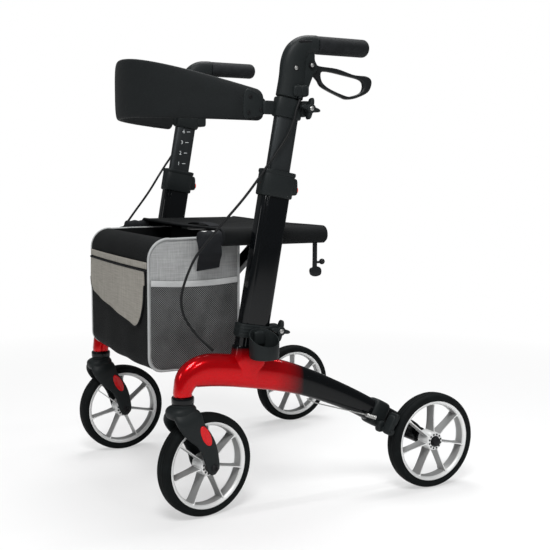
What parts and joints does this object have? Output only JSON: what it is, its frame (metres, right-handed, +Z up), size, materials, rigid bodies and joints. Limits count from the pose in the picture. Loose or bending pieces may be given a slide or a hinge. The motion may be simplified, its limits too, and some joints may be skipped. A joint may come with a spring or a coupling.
{
  "type": "rollator walker",
  "caption": "Folding walking frame on wheels with cross brace, fabric seat, bowed foam backrest, shopping bag, sliding handles and looped brake levers.",
  "frame": {"origin": "middle of the footprint, on the floor", "axes": "+X to the user's left, +Y to the rear where the user stands, +Z up"},
  "size_m": [0.658, 0.689, 0.92],
  "materials": {
    "red_paint": "gloss metallic, fading to black towards the rear",
    "black_paint": "gloss",
    "dark_tube": "dark anodised, satin",
    "black_plastic": "fine texture",
    "red_plastic": "semi-gloss",
    "silver_rim": "silver-grey moulded",
    "tyre": "matt",
    "soft_grip": "matt",
    "steel": "zinc plated",
    "cable_sleeve": "satin",
    "black_cloth": "woven nylon",
    "grey_cloth": "woven, light grey side panels",
    "beige_cloth": "woven",
    "foam": "soft closed-cell foam"
  },
  "bodies": {
    "left_frame": {"left_side_beam": "red_paint", "left_upright": "black_paint", "left_height_collar": "black_plastic", "left_seat_saddle": "black_plastic", "left_brake_bracket": "black_plastic", "left_rear_axle": "steel", "left_head_bearing": "black_plastic", "left_brake_cable": "cable_sleeve", "cane_cup": "black_plastic"},
    "right_frame": {"right_side_beam": "red_paint", "right_upright": "black_paint", "right_height_collar": "black_plastic", "right_seat_saddle": "black_plastic", "right_brake_bracket": "black_plastic", "right_rear_axle": "steel", "right_head_bearing": "black_plastic", "right_brake_cable": "cable_sleeve"},
    "strut_a": {"strut_a": "black_paint", "centre_pin": "steel"},
    "strut_b": {"strut_b": "black_paint"},
    "left_rail": {"left_seat_rail": "black_paint", "seat_fabric": "black_cloth", "bag": "grey_cloth"},
    "right_rail": {"right_seat_rail": "black_paint"},
    "bag_flap": {"bag_flap": "beige_cloth"},
    "latch": {"fold_latch": "black_plastic"},
    "cup_knob": {"cup_knob": "black_plastic"},
    "left_handle": {"left_handle_tube": "dark_tube", "left_handle_housing": "black_plastic", "left_grip": "soft_grip", "left_lever_pin": "steel", "left_backrest_clamp": "black_plastic", "backrest": "foam"},
    "left_lever": {"left_brake_lever": "black_plastic"},
    "left_shoe": {"left_brake_shoe": "black_plastic"},
    "left_caster": {"left_fork": "black_plastic", "left_caster_stem": "steel", "left_front_axle": "steel"},
    "left_front_wheel": {"left_front_tyre": "tyre", "left_front_rim": "silver_rim"},
    "left_rear_wheel": {"left_rear_tyre": "tyre", "left_rear_rim": "silver_rim"},
    "left_button": {"left_height_button": "red_plastic"},
    "left_clamp_knob": {"left_clamp_knob": "black_plastic"},
    "right_handle": {"right_handle_tube": "dark_tube", "right_handle_housing": "black_plastic", "right_grip": "soft_grip", "right_lever_pin": "steel", "right_backrest_clamp": "black_plastic"},
    "right_lever": {"right_brake_lever": "black_plastic"},
    "right_shoe": {"right_brake_shoe": "black_plastic"},
    "right_caster": {"right_fork": "black_plastic", "right_caster_stem": "steel", "right_front_axle": "steel"},
    "right_front_wheel": {"right_front_tyre": "tyre", "right_front_rim": "silver_rim"},
    "right_rear_wheel": {"right_rear_tyre": "tyre", "right_rear_rim": "silver_rim"},
    "right_button": {"right_height_button": "red_plastic"},
    "right_clamp_knob": {"right_clamp_knob": "black_plastic"}
  },
  "joints": [
    {"name": "fold", "type": "hinge", "parent": "left_frame", "child": "strut_a", "pos_m": [0.222, -0.125, 0.275], "axis": [0, 1, 0], "range_deg": [0, 48], "deforming": ["seat_fabric", "bag", "bag_flap", "backrest"]},
    {"name": "brace_cross", "type": "hinge", "parent": "strut_a", "child": "strut_b", "pos_m": [0, -0.115, 0.40565], "axis": [0, 1, 0], "range_deg": [-96, 0]},
    {"name": "right_frame_pivot", "type": "hinge", "parent": "strut_b", "child": "right_frame", "pos_m": [-0.222, -0.105, 0.275], "axis": [0, 1, 0], "range_deg": [0, 48]},
    {"name": "right_rail_level", "type": "hinge", "parent": "strut_a", "child": "right_rail", "pos_m": [-0.213, -0.125, 0.531], "axis": [0, 1, 0], "range_deg": [-48, 0]},
    {"name": "left_rail_level", "type": "hinge", "parent": "strut_b", "child": "left_rail", "pos_m": [0.213, -0.105, 0.531], "axis": [0, 1, 0], "range_deg": [0, 48]},
    {"name": "left_height", "type": "slide", "parent": "left_frame", "child": "left_handle", "axis": [0, 0.1702, 0.9854], "range_m": [-0.088, 0], "deforming": ["left_brake_cable"]},
    {"name": "right_height", "type": "slide", "parent": "right_frame", "child": "right_handle", "axis": [0, 0.1702, 0.9854], "range_m": [-0.088, 0], "deforming": ["right_brake_cable"]},
    {"name": "left_brake_squeeze", "type": "hinge", "parent": "left_handle", "child": "left_lever", "pos_m": [0.253, -0.03, 0.862], "axis": [1, 0, 0], "range_deg": [0, 13], "stiffness_Nm_per_rad": 0.8, "springref_deg": -5.73},
    {"name": "left_shoe_swing", "type": "hinge", "parent": "left_frame", "child": "left_shoe", "pos_m": [0.302, 0.1393, 0.131], "axis": [-1, 0, 0], "range_deg": [0, 5.5]},
    {"name": "left_caster_swivel", "type": "hinge", "parent": "left_frame", "child": "left_caster", "pos_m": [0.253, -0.2938, 0.2], "axis": [0, 0, 1], "continuous": true},
    {"name": "left_front_wheel_spin", "type": "hinge", "parent": "left_caster", "child": "left_front_wheel", "pos_m": [0.24449, -0.24554, 0.1], "axis": [0.9848, 0.1736, 0], "continuous": true},
    {"name": "left_rear_wheel_spin", "type": "hinge", "parent": "left_frame", "child": "left_rear_wheel", "pos_m": [0.302, 0.245, 0.1], "axis": [1, 0, 0], "continuous": true},
    {"name": "left_button_press", "type": "slide", "parent": "left_frame", "child": "left_button", "axis": [0, -1, 0], "range_m": [0, 0.004], "stiffness_N_per_m": 300, "springref_m": -0.001},
    {"name": "left_clamp_knob_turn", "type": "hinge", "parent": "left_handle", "child": "left_clamp_knob", "pos_m": [0.253, -0.03804, 0.779], "axis": [1, 0, 0], "continuous": true},
    {"name": "right_brake_squeeze", "type": "hinge", "parent": "right_handle", "child": "right_lever", "pos_m": [-0.253, -0.03, 0.862], "axis": [1, 0, 0], "range_deg": [0, 13], "stiffness_Nm_per_rad": 0.8, "springref_deg": -5.73},
    {"name": "right_shoe_swing", "type": "hinge", "parent": "right_frame", "child": "right_shoe", "pos_m": [-0.302, 0.1393, 0.131], "axis": [-1, 0, 0], "range_deg": [0, 5.5]},
    {"name": "right_caster_swivel", "type": "hinge", "parent": "right_frame", "child": "right_caster", "pos_m": [-0.253, -0.2938, 0.2], "axis": [0, 0, 1], "continuous": true},
    {"name": "right_front_wheel_spin", "type": "hinge", "parent": "right_caster", "child": "right_front_wheel", "pos_m": [-0.25471, -0.24483, 0.1], "axis": [0.9994, 0.0349, 0], "continuous": true},
    {"name": "right_rear_wheel_spin", "type": "hinge", "parent": "right_frame", "child": "right_rear_wheel", "pos_m": [-0.302, 0.245, 0.1], "axis": [1, 0, 0], "continuous": true},
    {"name": "right_button_press", "type": "slide", "parent": "right_frame", "child": "right_button", "axis": [0, -1, 0], "range_m": [0, 0.004], "stiffness_N_per_m": 300, "springref_m": -0.001},
    {"name": "right_clamp_knob_turn", "type": "hinge", "parent": "right_handle", "child": "right_clamp_knob", "pos_m": [-0.253, -0.03804, 0.779], "axis": [1, 0, 0], "continuous": true},
    {"name": "cup_knob_turn", "type": "hinge", "parent": "left_frame", "child": "cup_knob", "pos_m": [0.253, -0.10062, 0.353], "axis": [1, 0, 0], "continuous": true},
    {"name": "bag_flap_lift", "type": "hinge", "parent": "left_rail", "child": "bag_flap", "pos_m": [0, -0.3358, 0.47], "axis": [-1, 0, 0], "range_deg": [0, 120]},
    {"name": "latch_swing", "type": "hinge", "parent": "left_rail", "child": "latch", "pos_m": [0.213, 0.012, 0.531], "axis": [0, 1, 0], "range_deg": [-20, 60]}
  ],
  "couplings": [
    {"joint": "brace_cross", "follows": "fold", "ratio": -2},
    {"joint": "right_frame_pivot", "follows": "fold", "ratio": 1},
    {"joint": "right_rail_level", "follows": "fold", "ratio": -1},
    {"joint": "left_rail_level", "follows": "fold", "ratio": 1},
    {"joint": "right_height", "follows": "left_height", "ratio": 1},
    {"joint": "left_shoe_swing", "follows": "left_brake_squeeze", "ratio": 0.423},
    {"joint": "right_shoe_swing", "follows": "right_brake_squeeze", "ratio": 0.423}
  ]
}
